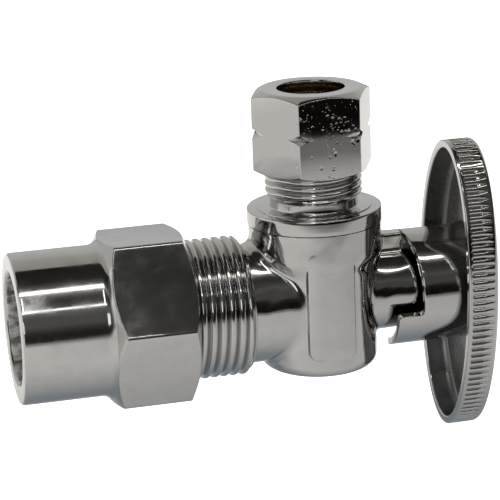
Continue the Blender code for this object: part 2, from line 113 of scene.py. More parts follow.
# One pitch from root to crest and back: share of the pitch and share of the depth
THREAD_PROFILE = (
    (0.0, 0.0),
    (0.035, 0.13),
    (0.09, 0.37),
    (0.17, 0.64),
    (0.27, 0.85),
    (0.38, 0.96),
    (0.5, 1.0),
    (0.62, 0.96),
    (0.73, 0.85),
    (0.83, 0.64),
    (0.91, 0.37),
    (0.965, 0.13),
)

# Sockets and bores
STUB_END = -29.5
INLET_TUBE_R = 8.05
OUTLET_TUBE_R = 4.86
WATERWAY_R = 5.5
TUBE_STOP = -15.5

# Ball and stem
BALL_R = 5.6
BALL_REACH = 7.0
BALL_BORE_R = 2.9
STEM_R = 3.5
STEM_END = 16.5
STEM_GROOVES = (("stem_oring_outer", 13.5), ("stem_oring_inner", 10.9))
O_RING_R = 0.45

# Handle
HANDLE_TILT = 4.0
OVAL_HALF_HEIGHT = 22.55
OVAL_HALF_WIDTH = 11.4
OVAL_WALL = 1.2
OVAL_DROP = 0.5
OVAL_BACK = 19.95
OVAL_FLOOR = 23.55
OVAL_FRONT = 24.8
FACE_EDGE = 3.4
# Grooves round the oval's rim: how many, how deep and how much of the pitch each takes
RIBS = 101
RIB_DEPTH = 0.36
RIB_SHARE = 0.84
HUB_R = 8.55
HUB_BORE_R = 7.45
HUB_FLOOR = 16.8
SKIRT_END = 10.3
# Where the two cut-outs of the skirt start and stop, in degrees round X
CUT_OUTS = ((-11.6, 106.0), (168.4, 286.0))

# Nuts: width across the flats, and where one corner stands, in degrees round the nut's own axis
INLET_HEX = 23.8
INLET_HEX_TURN = 3.65
OUTLET_HEX = 15.875
OUTLET_HEX_TURN = 3.45


# ---------------------------------------------------------------- mesh helpers


def place(points):
    """Millimetres from the crossing of the axes to metres in the frame."""
    return np.asarray(points, float) * MM + ORIGIN


def add_mesh(name, vertices, faces):
    mesh = bpy.data.meshes.new(name)
    mesh.from_pydata(vertices.tolist(), [], faces.tolist())
    obj = bpy.data.objects.new(name, mesh)
    bpy.context.scene.collection.objects.link(obj)
    return obj


def weld(obj):
    """Join points that coincide, drop what collapsed and turn all faces outwards."""
    work = bmesh.new()
    work.from_mesh(obj.data)
    bmesh.ops.remove_doubles(work, verts=work.verts, dist=1e-6)
    bmesh.ops.dissolve_degenerate(work, dist=1e-7, edges=work.edges)
    bmesh.ops.recalc_face_normals(work, faces=work.faces)
    work.to_mesh(obj.data)
    work.free()
    return obj


def skin(name, rows, closed, wraps=True):
    """Surface over rows of points that each run round the piece.

    closed joins the last row to the first. A row wraps from its last point to its first, unless
    its last point already closes the turn.
    """
    count, columns = rows.shape[:2]
    index = np.arange(count * columns).reshape(count, columns)
    upper = index if closed else index[:-1]
    lower = np.roll(index, -1, 0) if closed else index[1:]
    quads = np.stack([upper, np.roll(upper, -1, 1), np.roll(lower, -1, 1), lower], -1)
    if not wraps:
        quads = quads[:, :-1]
    return weld(add_mesh(name, place(rows.reshape(-1, 3)), quads.reshape(-1, 4)))


def soften(corners, columns, closed, steps=4):
    """Rows of (distance, station) from a profile whose corners are (distance, station, softness).

    Distance and station may differ round the piece. Softness is how far the rounding reaches.
    """
    points = np.zeros((len(corners), columns, 2))
    for j, (distance, station, _) in enumerate(corners):
        points[j, :, 0] = distance
        points[j, :, 1] = station
    rows = []
    for j, (_, _, softness) in enumerate(corners):
        here = points[j]
        if softness == 0 or (not closed and j in (0, len(corners) - 1)):
            rows.append(here)
            continue
        ends = []
        for other in (points[j - 1], points[(j + 1) % len(corners)]):
            gap = other - here
            length = np.maximum(np.linalg.norm(gap, axis=1), 1e-9)
            reach = np.minimum(softness, 0.48 * length)
            ends.append(here + gap / length[:, None] * reach[:, None])
        for u in np.linspace(0, 1, steps):
            rows.append((1 - u) ** 2 * ends[0] + 2 * u * (1 - u) * here + u**2 * ends[1])
    return np.array(rows)


def turn(steps):
    return np.linspace(0, 2 * math.pi, steps, endpoint=False)


def helix_turn():
    """A whole turn that ends where it began, one pitch further along a thread."""
    return np.linspace(0, 2 * math.pi, FINE_TURN + 1)


def turned(name, corners, along_x, angles=None):
    """Turned piece from (radius, station, softness) corners, along X or along Z.

    A profile that starts and ends on the axis is a solid one, any other is closed to a ring.
    """
    if angles is None:
        angles = turn(FINE_TURN)
    closed = not (np.max(corners[0][0]) == 0 and np.max(corners[-1][0]) == 0)
    profile = soften(corners, len(angles), closed)
    radius, station = profile[..., 0], profile[..., 1]
    if along_x:
        rows = np.stack([station, -radius * np.cos(angles), radius * np.sin(angles)], -1)
    else:
        rows = np.stack([radius * np.cos(angles), radius * np.sin(angles), station], -1)
    whole_turn = angles[-1] - angles[0] > 2 * math.pi - 1e-6
    return skin(name, rows, closed, not whole_turn)


def block(name, low, high):
    """Straight-sided block between two opposite corners."""
    low, high = np.array(low, float), np.array(high, float)
    obj = bpy.data.objects.new(name, bpy.data.meshes.new(name))
    bpy.context.scene.collection.objects.link(obj)
    work = bmesh.new()
    bmesh.ops.create_cube(work, size=1.0)
    bmesh.ops.transform(work, matrix=Matrix.Diagonal((*((high - low) * MM), 1)), verts=work.verts)
    bmesh.ops.translate(work, vec=Vector(place((low + high) / 2)), verts=work.verts)
    work.to_mesh(obj.data)
    work.free()
    return obj


def combine(target, tool, operation):
    """Join, cut or intersect two closed pieces for good; the second one is used up."""
    modifier = target.modifiers.new("combine", "BOOLEAN")
    modifier.operation = operation
    modifier.object = tool
    modifier.solver = "MANIFOLD"
    evaluated = target.evaluated_get(bpy.context.evaluated_depsgraph_get())
    mesh = bpy.data.meshes.new_from_object(evaluated)
    target.modifiers.clear()
    old = target.data
    target.data = mesh
    mesh.name = target.name
    bpy.data.meshes.remove(old)
    bpy.data.objects.remove(tool)


def thread_rows(thread, low, high, angles, fade):
    """Corners of a single-start helix between two stations, from the low one up.

    The thread grows out of its root over the share fade of a pitch at both ends.
    """
    major, pitch = thread
    depth = THREAD_DEPTH * pitch
    lead = angles / (2 * math.pi) * pitch
    corners = []
    for turn_number in range(-1, math.ceil((high - low) / pitch) + 1):
        for share, height in THREAD_PROFILE:
            station = np.clip(low + (turn_number + share) * pitch + lead, low, high)
            run = np.minimum(station - low, high - station) / (fade * pitch)
            radius = major - depth * (1 - height * np.clip(run, 0, 1))
            corners.append((radius, station, 0))
    return corners


def hexagon(across_flats, turn_degrees, rounding, flat_columns):
    """Angles round a hexagon with rounded corners and the radius at each.

    One corner stands at turn_degrees, and each flat gets flat_columns columns.
    """
    apothem = across_flats / 2
    centre = (apothem - rounding) / math.cos(math.radians(30))
    reach = math.atan2(rounding / 2, centre + rounding * math.cos(math.radians(30)))
    offsets = np.concatenate(
        [
            np.linspace(-reach, reach, 7),
            np.linspace(reach, math.radians(60) - reach, flat_columns + 2)[1:-1],
        ]
    )
    angles = []
    radii = []
    for corner in range(6):
        for offset in offsets:
            angles.append(math.radians(turn_degrees + 60 * corner) + offset)
            if offset <= reach:
                radii.append(
                    centre * math.cos(offset)
                    + math.sqrt(max(rounding**2 - (centre * math.sin(offset)) ** 2, 0))
                )
            else:
                radii.append(apothem / math.cos(offset - math.radians(30)))
    return np.array(angles), np.array(radii)


# ---------------------------------------------------------------- distance fields of the forging


def round_union(a, b, radius):
    """Union of two distance fields with a concave fillet."""
    near = np.hypot(np.maximum(radius - a, 0), np.maximum(radius - b, 0))
    return np.maximum(radius, np.minimum(a, b)) - near


def round_overlap(a, b, radius):
    """Intersection of two distance fields with a rounded edge."""
    near = np.hypot(np.maximum(radius + a, 0), np.maximum(radius + b, 0))
    return np.minimum(-radius, np.maximum(a, b)) + near


def forging_field(x, y, z):
    """Signed distance to the outside of the forging, negative inside."""
    from_axis = np.hypot(x, y)
    girth = np.hypot(x / BARREL_R, y / BARREL_HALF_DEPTH)
    barrel = round_overlap((girth - 1) * BARREL_R, BARREL_BOTTOM - z, BARREL_ROUND)
    under = ((from_axis - SHOULDER_R) + (SHOULDER_Z - z)) / math.sqrt(2)
    shoulder = round_overlap(from_axis - SHOULDER_R, under, 0.7)
    section = np.hypot(y / NECK_HALF_WIDTH, z / NECK_HALF_HEIGHT)
    neck = np.maximum((section - 1) * NECK_HALF_WIDTH, np.maximum(NECK_END - 1.5 - x, x))
    boss = np.maximum(round_overlap(np.hypot(y, z) - BOSS_R, x - BOSS_END, 0.3), -x)
    left, right, bottom, top = PAD
    across = np.abs(x - (left + right) / 2) - (right - left) / 2 + PAD_CORNER
    along = np.abs(z - (top + bottom) / 2) - (top - bottom) / 2 + PAD_CORNER
    outline = np.hypot(np.maximum(across, 0), np.maximum(along, 0))
    outline = outline + np.minimum(np.maximum(across, along), 0) - PAD_CORNER
    front = round_overlap(-y - PAD_FRONT, from_axis - SHOULDER_R, 0.3)
    pad = np.maximum(round_overlap(outline, front, 0.16), y)
    start, end = LUG_SPAN
    lug = round_overlap(np.abs(y) - LUG_HALF_WIDTH, z - LUG_TOP, 0.4)
    lug = np.maximum(round_overlap(lug, x - end, 0.4), np.maximum(start - x, -z))

    # The fillets beside the barrel grow wider towards the shoulder
    upper = np.clip((z - 4.0) / 4.5, 0, 1)
    upper = upper * upper * (3 - 2 * upper)
    trunk = round_union(round_union(barrel, shoulder, 0.7), pad, 0.1)
    whole = round_union(trunk, neck, 0.45 + 0.85 * upper)
    whole = round_union(whole, boss, 0.55 + 0.4 * upper)
    whole = round_union(whole, lug, 0.5)
    waves = 0
    # The barrel is smoother than the neck and the boss beside it
    uneven = 0.35 + 0.9 * np.clip((np.abs(x) - 5) / 4, 0, 1)
    for along_x, along_y, along_z, start, height in FORGING_WAVES:
        waves = waves + uneven * height * np.sin(along_x * x + along_y * y + along_z * z + start)
    return np.maximum(whole + waves, z - BODY_TOP - 0.5)


def crossings(values, inside, axis, grids, step):
    """Which edges of the grid along one axis the surface crosses, and where it crosses them."""
    first = [slice(None)] * 3
    second = [slice(None)] * 3
    first[axis] = slice(None, -1)
    second[axis] = slice(1, None)
    changed = inside[tuple(first)] != inside[tuple(second)]
    low, high = values[tuple(first)], values[tuple(second)]
    share = np.where(changed, low / np.where(changed, low - high, 1.0), 0.0)
    spot = [grid[tuple(first)].copy() for grid in grids]
    spot[axis] += share * step
    return changed, spot


def surface_net(name, field, low, high, step):
    """Closed mesh of a distance field, with one point in each cell that the surface crosses."""
    ticks = [np.arange(a, b + step, step) for a, b in zip(low, high)]
    grids = np.meshgrid(*ticks, indexing="ij")
    values = field(*grids)
    inside = values < 0
    cells = tuple(n - 1 for n in values.shape)
    total = np.zeros(cells + (3,))
    count = np.zeros(cells)
    edges = []
    for axis in range(3):
        changed, spot = crossings(values, inside, axis, grids, step)
        edges.append(changed)
        sides = [a for a in range(3) if a != axis]
        for shift_a in (0, 1):
            for shift_b in (0, 1):
                part = [slice(None)] * 3
                part[sides[0]] = slice(shift_a, shift_a + cells[sides[0]])
                part[sides[1]] = slice(shift_b, shift_b + cells[sides[1]])
                part = tuple(part)
                count += changed[part]
                for c in range(3):
                    total[..., c] += np.where(changed[part], spot[c][part], 0.0)
    used = count > 0
    number = np.full(cells, -1)
    number[used] = np.arange(used.sum())
    points = total[used] / count[used][:, None]
    quads = []
    for axis, changed in enumerate(edges):
        sides = [a for a in range(3) if a != axis]
        at = np.argwhere(changed)
        keep = np.ones(len(at), bool)
        for side in sides:
            keep &= (at[:, side] > 0) & (at[:, side] < cells[side])
        at = at[keep]
        ring = []
        for back_a, back_b in ((1, 1), (0, 1), (0, 0), (1, 0)):
            cell = at.copy()
            cell[:, sides[0]] -= back_a
            cell[:, sides[1]] -= back_b
            ring.append(number[tuple(cell.T)])
        quads.append(np.stack(ring, -1))
    # Each point is moved onto the surface, down the slope of the field
    small = step / 20
    for _ in range(5):
        here = field(*points.T)
        slope = np.zeros_like(points)
        for c in range(3):
            nudge = np.zeros(3)
            nudge[c] = small
            slope[:, c] = (field(*(points + nudge).T) - field(*(points - nudge).T)) / (2 * small)
        size = np.maximum((slope**2).sum(1), 0.25)
        move = np.clip(here / size, -step / 2, step / 2)
        points = points - move[:, None] * slope
    return weld(add_mesh(name, place(points), np.concatenate(quads)))


# ---------------------------------------------------------------- materials


class Nodes:
    """Short names for building one material's node tree."""

    def __init__(self, name):
        self.material = bpy.data.materials.new(name)
        self.material.use_nodes = True
        self.tree = self.material.node_tree
        self.shader = self.tree.nodes["Principled BSDF"]
        coordinates = self.tree.nodes.new("ShaderNodeTexCoord")
        self.space = coordinates.outputs["Object"]

    def link(self, source, target):
        self.tree.links.new(source, target)

    def stretched(self, scale):
        """Object coordinates in millimetres, stretched by three factors."""
        mapping = self.tree.nodes.new("ShaderNodeMapping")
        mapping.inputs["Scale"].default_value = [s / MM for s in scale]
        self.link(self.space, mapping.inputs["Vector"])
        return mapping.outputs["Vector"]

    def noise(self, scale, detail=2.0, roughness=0.5, offset=0.0):
        node = self.tree.nodes.new("ShaderNodeTexNoise")
        node.noise_dimensions = "4D"
        node.inputs["W"].default_value = offset
        node.inputs["Scale"].default_value = 1.0
        node.inputs["Detail"].default_value = detail
        node.inputs["Roughness"].default_value = roughness
        scales = scale if isinstance(scale, tuple) else (scale, scale, scale)
        self.link(self.stretched(scales), node.inputs["Vector"])
        return node.outputs["Fac"]

    def spots(self, scale, size):
        """1 in the middle of scattered round spots, falling to 0 at their edge."""
        node = self.tree.nodes.new("ShaderNodeTexVoronoi")
        node.inputs["Scale"].default_value = 1.0
        scales = scale if isinstance(scale, tuple) else (scale, scale, scale)
        self.link(self.stretched(scales), node.inputs["Vector"])
        return self.spread(node.outputs["Distance"], 0.0, size, 1.0, 0.0)

    def spread(self, source, from_low, from_high, to_low, to_high):
        node = self.tree.nodes.new("ShaderNodeMapRange")
        for socket, value in zip(
            ("From Min", "From Max", "To Min", "To Max"), (from_low, from_high, to_low, to_high)
        ):
            node.inputs[socket].default_value = value
        self.link(source, node.inputs["Value"])
        return node.outputs["Result"]

    def math(self, operation, first, second):
        node = self.tree.nodes.new("ShaderNodeMath")
        node.operation = operation
        for socket, value in zip(node.inputs, (first, second)):
            if isinstance(value, (int, float)):
                socket.default_value = value
            else:
                self.link(value, socket)
        return node.outputs["Value"]

    def colours(self, source, low, high):
        node = self.tree.nodes.new("ShaderNodeMix")
        node.data_type = "RGBA"
        node.inputs["A"].default_value = (*low, 1)
        node.inputs["B"].default_value = (*high, 1)
        self.link(source, node.inputs["Factor"])
        return node.outputs["Result"]

    def bump(self, height, depth, before=None):
        """Bump of the given depth in millimetres, on top of another one."""
        node = self.tree.nodes.new("ShaderNodeBump")
        node.inputs["Distance"].default_value = depth * MM
        self.link(height, node.inputs["Height"])
        if before is not None:
            self.link(before, node.inputs["Normal"])
        return node.outputs["Normal"]

    def set(self, **values):
        for name, value in values.items():
            socket = self.shader.inputs[name.replace("_", " ")]
            if isinstance(value, (int, float)):
                socket.default_value = value
            elif isinstance(value, tuple):
                socket.default_value = (*value, 1)
            else:
                self.link(value, socket)
        return self.material


CHROME_LIGHT = (0.53, 0.525, 0.515)
CHROME_DULL = (0.43, 0.425, 0.415)


def chrome(name, peel, pits=0.0, pit_size=0.1, lines=0.0, stretch=(1, 1, 1), smear=0.5, front=None):
    """Plated brass: a mirror with orange peel and, where they are asked for, tool marks and pits.

    peel, pits and lines are depths in millimetres, and pit_size is how far a pit reaches as a share
    of the distance between pits. stretch is how closely the tool marks follow each other along X, Y
    and Z, and smear how far the dull clouds go. front, a place along Y in millimetres, adds larger
    craters and leaves hardly any mark behind it.
    """
    n = Nodes(name)
    cloud = n.noise(0.3, 4.0, 0.62)
    grain = n.noise(4.0, 1.0, 0.5, 3.0)
    rough = n.spread(cloud, 0.38, 0.68, 0.05, 0.05 + 0.13 * smear)
    rough = n.math("ADD", rough, n.spread(grain, 0.3, 0.7, 0.0, 0.02))
    dull = n.spread(cloud, 0.42, 0.72, 0.0, 0.5 * smear)
    normal = n.bump(n.noise(0.5, 1.0, 0.5, 1.0), peel)
    if lines:
        normal = n.bump(n.noise(stretch, 1.0, 0.5, 5.0), lines, normal)
    if pits:
        where = n.spread(n.noise(0.17, 1.0, 0.5, 7.0), 0.5, 0.6, 0.0, 1.0)
        if front is not None:
            split = n.tree.nodes.new("ShaderNodeSeparateXYZ")
            n.link(n.stretched((1, 1, 1)), split.inputs["Vector"])
            where = n.spread(split.outputs["Y"], front, front + 0.3, 1.0, 0.04)
        speck = n.spots(2.4, pit_size)
        few = n.spread(n.noise(0.7, 1.0, 0.5, 11.0), 0.48, 0.56, 0.0, 1.0)
        marks = n.math("MULTIPLY", n.math("MULTIPLY", speck, few), where)
        if front is not None:
            rare = n.spread(n.noise(0.55, 2.0, 0.6, 13.0), 0.53, 0.57, 0.0, 1.0)
            crater = n.math("MULTIPLY", n.spots((1.3, 1.3, 0.9), 0.4), rare)
            marks = n.math("MAXIMUM", marks, n.math("MULTIPLY", crater, where))
        normal = n.bump(n.math("MULTIPLY", marks, -1.0), pits, normal)
        rough = n.math("ADD", rough, n.math("MULTIPLY", marks, 0.06))
        dull = n.math("ADD", dull, n.math("MULTIPLY", marks, 0.3))
    colour = n.colours(dull, CHROME_LIGHT, CHROME_DULL)
    return n.set(Base_Color=colour, Metallic=1.0, Roughness=rough, Normal=normal)


def bored_chrome():
    """Dull, uneven plating inside a bore."""
    n = Nodes("chrome_bored")
    swirl = n.noise((0.45, 0.9, 0.9), 3.0, 0.6, 4.0)
    return n.set(
        Base_Color=n.colours(n.spread(swirl, 0.4, 0.6, 0, 1), (0.16, 0.15, 0.13), (0.66, 0.65, 0.63)),
        Metallic=0.75,
        Roughness=n.spread(swirl, 0.3, 0.7, 0.3, 0.55),
        Normal=n.bump(swirl, 0.12),
    )


def painted_shade_chrome():
    """Satin plating in the hollow behind the handle's face, its colour darkened as painted shade."""
    n = Nodes("chrome_hollow_painted_shade")
    cloud = n.noise(0.25, 3.0, 0.6, 9.0)
    return n.set(
        # Painted shade: a dark grey base colour in place of the chrome's light grey
        Base_Color=n.colours(cloud, (0.17, 0.17, 0.17), (0.30, 0.295, 0.285)),
        Metallic=0.9,
        Roughness=n.spread(cloud, 0.3, 0.7, 0.22, 0.36),
        Normal=n.bump(n.noise(0.6, 1.0, 0.5, 1.0), 0.01),
    )


def brass():
    n = Nodes("turned_brass_tarnish_and_shade")
    rings = n.noise((9.0, 0.5, 0.5), 2.0, 0.6)
    cloud = n.noise(0.4, 3.0, 0.6, 2.0)
    # Darker than clean brass: partly tarnish, partly painted shade for the pieces that sit deep in
    # bores and the handle
    colour = n.colours(n.spread(cloud, 0.35, 0.7, 0.0, 1.0), (0.52, 0.35, 0.15), (0.34, 0.21, 0.085))
    return n.set(
        Base_Color=colour,
        Metallic=1.0,
        Roughness=n.spread(rings, 0.3, 0.7, 0.18, 0.34),
        Normal=n.bump(rings, 0.006),
    )


def steel():
    n = Nodes("plated_steel")
    brushed = n.noise((1.2, 8.0, 8.0), 2.0, 0.6)
    colour = n.colours(brushed, (0.50, 0.50, 0.49), (0.60, 0.59, 0.57))
    return n.set(
        Base_Color=colour,
        Metallic=1.0,
        Roughness=n.spread(brushed, 0.3, 0.7, 0.2, 0.36),
        Normal=n.bump(brushed, 0.004),
    )


def ptfe():
    n = Nodes("white_ptfe")
    cloud = n.noise(0.5, 3.0, 0.6)
    fine = n.noise(6.0, 2.0, 0.6, 1.0)
    return n.set(
        Base_Color=n.colours(cloud, (0.80, 0.80, 0.77), (0.90, 0.90, 0.88)),
        Roughness=n.spread(fine, 0.3, 0.7, 0.38, 0.52),
        Normal=n.bump(fine, 0.006),
    )


def rubber():
    n = Nodes("black_rubber")
    fine = n.noise(5.0, 3.0, 0.6)
    return n.set(
        Base_Color=n.colours(fine, (0.018, 0.018, 0.019), (0.035, 0.035, 0.036)),
        Roughness=n.spread(fine, 0.3, 0.7, 0.5, 0.68),
        Normal=n.bump(fine, 0.01),
    )


FORGED = chrome("chrome_forged", 0.010, 0.006, 0.08, smear=0.7)
TURNED_X = chrome("chrome_turned_x", 0.003, 0.005, 0.06, 0.0008, (2.6, 0.2, 0.2), smear=0.9)
TURNED_Z = chrome("chrome_turned_z", 0.004, smear=0.3)
PITTED = chrome("chrome_pitted", 0.003, 0.06, 0.2, smear=0.3, front=-7.6)
CAST = chrome("chrome_handle", 0.014, smear=0.6)
BORED = bored_chrome()
# Chrome with painted shade, for the faces in the handle's hollow
HOLLOW_PAINTED_SHADE = painted_shade_chrome()
BRASS_TARNISH_AND_SHADE = brass()
STEEL = steel()
PTFE = ptfe()
RUBBER = rubber()


# ---------------------------------------------------------------- pieces


def finish_piece(obj, node, body, material, sharp=35.0):
    """Give a fine piece its name, material and shading, and put it in its CAD node's place."""
    obj.name = node + "_fine"
    obj.data.name = obj.name
    obj.data.materials.clear()
    obj.data.materials.append(material)
    obj.data.shade_smooth()
    obj.data.set_sharp_from_angle(angle=math.radians(sharp))
    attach(obj, body)
    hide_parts(node)


def tilt(obj):
    """Turn a piece of the handle about X, as the handle stands in the frame."""
    obj.data.transform(Matrix.Rotation(math.radians(HANDLE_TILT), 4, "X"))
    return obj


def make_body():
    low = (NECK_END - 2.0, -SHOULDER_R - 0.6, BARREL_BOTTOM - 0.6)
    high = (BOSS_END + 0.6, SHOULDER_R + 0.6, BODY_TOP + 0.6)
    forging = surface_net("forging", forging_field, low, high, NET_STEP)

    angles = helix_turn()
    core = INLET_THREAD[0] - THREAD_DEPTH * INLET_THREAD[1]
    plain = core + 0.3
    stub = [(0, STUB_END, 0), (core, STUB_END, 0.2), (plain, STUB_END + 0.6, 0.1)]
    stub += [(plain, -21.9, 0.1)]
    stub += thread_rows(INLET_THREAD, -21.5, NECK_END - 0.15, angles, 0.45)
    stub += [(core - 0.1, NECK_END, 0.1), (NECK_HALF_WIDTH - 1, NECK_END, 0), (0, NECK_END, 0)]
    combine(forging, turned("stub", stub, True, angles), "UNION")

    # The cut that opens the chamber also levels the forging's top, to a slightly ragged edge
    around = turn(FINE_TURN)
    ragged = np.sin(11 * around) * np.sin(17 * around + 1) + 0.5 * np.sin(37 * around)
    edge = BODY_TOP + 0.11 + 0.022 * ragged
    above = BODY_TOP + 2
    chamber = [(0, above, 0), (TOP_CUT_R, above, 0), (TOP_CUT_R, edge, 0)]
    chamber += [(8.75, edge, 0), (8.75, 10.3, 0), (CHAMBER_R, 10.3, 0), (CHAMBER_R, 6.0, 0)]
    chamber += [(6.6, 6.0, 0), (6.6, -7.0, 0.6), (0, -7.0, 0)]
    combine(forging, turned("chamber", chamber, False, around), "DIFFERENCE")
    bore = [(0, 0, 0), (WATERWAY_R, 0, 0), (WATERWAY_R, TUBE_STOP, 0.2), (INLET_TUBE_R, TUBE_STOP, 0.1)]
    bore += [(INLET_TUBE_R, STUB_END + 1.2, 0.1), (8.75, STUB_END, 0), (8.75, STUB_END - 1, 0)]
    bore += [(0, STUB_END - 1, 0)]
    combine(forging, turned("bore", bore, True, turn(SMALL_TURN)), "DIFFERENCE")
    stem_bore = [(0, BOSS_END + 1, 0), (STEM_BORE_R, BOSS_END + 1, 0), (STEM_BORE_R, 8.8, 0)]
    stem_bore += [(4.6, 8.8, 0), (4.6, 0, 0), (0, 0, 0)]
    combine(forging, turned("stem_bore", stem_bore, True, turn(SMALL_TURN)), "DIFFERENCE")
    finish_piece(forging, "valve_body", "valve_body", FORGED, 40)


def make_outlet_adapter():
    angles = helix_turn()
    core = OUTLET_THREAD[0] - THREAD_DEPTH * OUTLET_THREAD[1]
    plain = core + 0.25
    ring = 9.95
    profile = [(7.4, 7.0, 0.2), (7.4, 11.75, 0), (ring, 11.75, 0.08), (ring, 12.9, 0.5)]
    profile += [(ring - 0.03, 13.98, 0.25), (8.5, 13.98, 0.05), (8.5, 14.15, 0.08), (6.45, 14.15, 0.2)]
    profile += [(6.45, 15.5, 0.1)]
    profile += thread_rows(OUTLET_THREAD, 15.6, 20.0, angles, 0.5)
    profile += [(plain, 20.3, 0.1), (plain, 24.8, 0.1), (core, 25.2, 0.1), (5.5, 25.2, 0.05)]
    profile += [(OUTLET_TUBE_R, 24.4, 0.1), (OUTLET_TUBE_R, 17.0, 0), (3.4, 17.0, 0.2), (3.4, 7.0, 0.1)]
    adapter = turned("adapter", profile, False, angles)
    finish_piece(adapter, "outlet_adapter", "valve_body", TURNED_Z)


def make_inlet_nut():
    angles, radius = hexagon(INLET_HEX, INLET_HEX_TURN, 0.7, 42)
    face = INLET_HEX / 2 - 0.2
    corner = INLET_HEX / math.sqrt(3)
    right = -20.2 - (radius - face) / (corner - face) * 1.05
    left = -32.3 + (radius - face) / (corner - face) * 1.2
    collar = 11.05
    profile = [(face, -20.2, 0.12), (radius, right, 0.14), (radius, left, 0.14)]
    profile += [(face, -32.3, 0.05), (collar, -33.05, 0.65), (collar, -45.42, 0.55)]
    profile += [(8.5, -45.42, 0.2), (8.2, -45.0, 0.2), (8.2, -36.8, 0.2), (9.5, -35.2, 0.1)]
    profile += [(9.5, -30.2, 0), (10.5, -30.2, 0), (10.5, -20.2, 0.1)]
    nut = turned("nut", profile, True, angles)
    finish_piece(nut, "inlet_nut", "inlet_nut", TURNED_X, 30)
    nut.data.materials.append(BORED)
    bore_limit, mouth = 9.6, -45.0
    for polygon in nut.data.polygons:
        middle = (np.array(polygon.center) - ORIGIN) / MM
        if math.hypot(middle[1], middle[2]) < bore_limit and middle[0] > mouth:
            polygon.material_index = 1


def make_outlet_nut():
    angles, radius = hexagon(OUTLET_HEX, OUTLET_HEX_TURN, 0.16, 60)
    corner = OUTLET_HEX / math.sqrt(3)
    face = 7.35
    foot = 7.55
    top = 31.62 - (radius - face) / (corner - face) * 0.87
    bottom = 19.3 + (radius - foot) / (corner - foot) * 0.85
    groove_z = 25.6
    groove_r = 8.27
    open_by = np.maximum(radius - groove_r, 0) / (corner - groove_r) * 0.8
    profile = [(face, 31.62, 0.12), (radius, top, 0.1), (radius, groove_z + open_by, 0)]
    groove = np.minimum(radius, groove_r)
    flat = 0.2 * np.clip(open_by / 0.2, 0, 1)
    profile += [(groove, groove_z + flat, 0), (groove, groove_z - flat, 0)]
    profile += [(radius, groove_z - open_by, 0)]
    profile += [(radius, bottom, 0.1), (foot, 19.3, 0.12), (7.3, 19.3, 0.05), (7.3, 25.9, 0)]
    profile += [(6.2, 25.9, 0), (6.2, 28.5, 0.1), (4.95, 29.85, 0.1), (4.95, 31.62, 0.16)]
    nut = turned("nut", profile, False, angles)
    finish_piece(nut, "outlet_nut", "outlet_nut", PITTED, 30)


def make_ferrules():
    for node, body, along_x, bore, outer, stations in (
        ("inlet_ferrule", "inlet_sleeve", True, INLET_TUBE_R, 9.15, (-29.3, -30.6, -34.8, -36.2)),
        ("outlet_ferrule", "outlet_sleeve", False, OUTLET_TUBE_R, 5.85, (29.6, 28.4, 25.9, 25.0)),
    ):
        high, upper, lower, low = stations
        lip = bore + 0.25
        profile = [(lip, high, 0.06), (outer, upper, 0.35), (outer, lower, 0.35), (lip, low, 0.06)]
        profile += [(bore, low, 0.08), (bore, high, 0.08)]
        ferrule = turned("ferrule", profile, along_x, turn(SMALL_TURN))
        finish_piece(ferrule, node, body, BRASS_TARNISH_AND_SHADE)


def make_oring(node, body, major, minor, station, along_x, tilted=False):
    section = []
    for angle in turn(24):
        section.append((major + minor * math.cos(angle), station + minor * math.sin(angle), 0))
    ring = turned("ring", section, along_x, turn(SMALL_TURN))
    if tilted:
        tilt(ring)
    finish_piece(ring, node, body, RUBBER, 60)


def make_seals():
    for node, side in (("outlet_seat", 1), ("lower_seat", -1)):
        profile = [(6.3, 3.7, 0.15), (6.3, 5.7, 0.2), (3.0, 5.7, 0.2), (3.0, 5.05, 0.1)]
        profile += [(4.6, 3.7, 0.15)]
        profile = [(r, side * station, softness) for r, station, softness in profile]
        seat = turned("seat", profile, False, turn(SMALL_TURN))
        finish_piece(seat, node, "valve_body", PTFE)
        make_oring(node + "_oring", "valve_body", 4.6, O_RING_R, side * 6.35, False)
    make_oring("adapter_oring", "valve_body", 8.05, 0.5, 10.95, False)
    washer = [(4.4, 8.6, 0.12), (4.4, 7.8, 0.12), (3.75, 7.8, 0.12), (3.75, 8.6, 0.12)]
    washer = turned("washer", washer, True, turn(SMALL_TURN))
    finish_piece(washer, "stem_washer", "valve_body", PTFE)


def bar(radius, low, high, along_x):
    """Plain round bar between two stations, for cutting holes."""
    corners = [(0, high, 0), (radius, high, 0), (radius, low, 0), (0, low, 0)]
    return turned("bar", corners, along_x, turn(PLAIN_TURN))


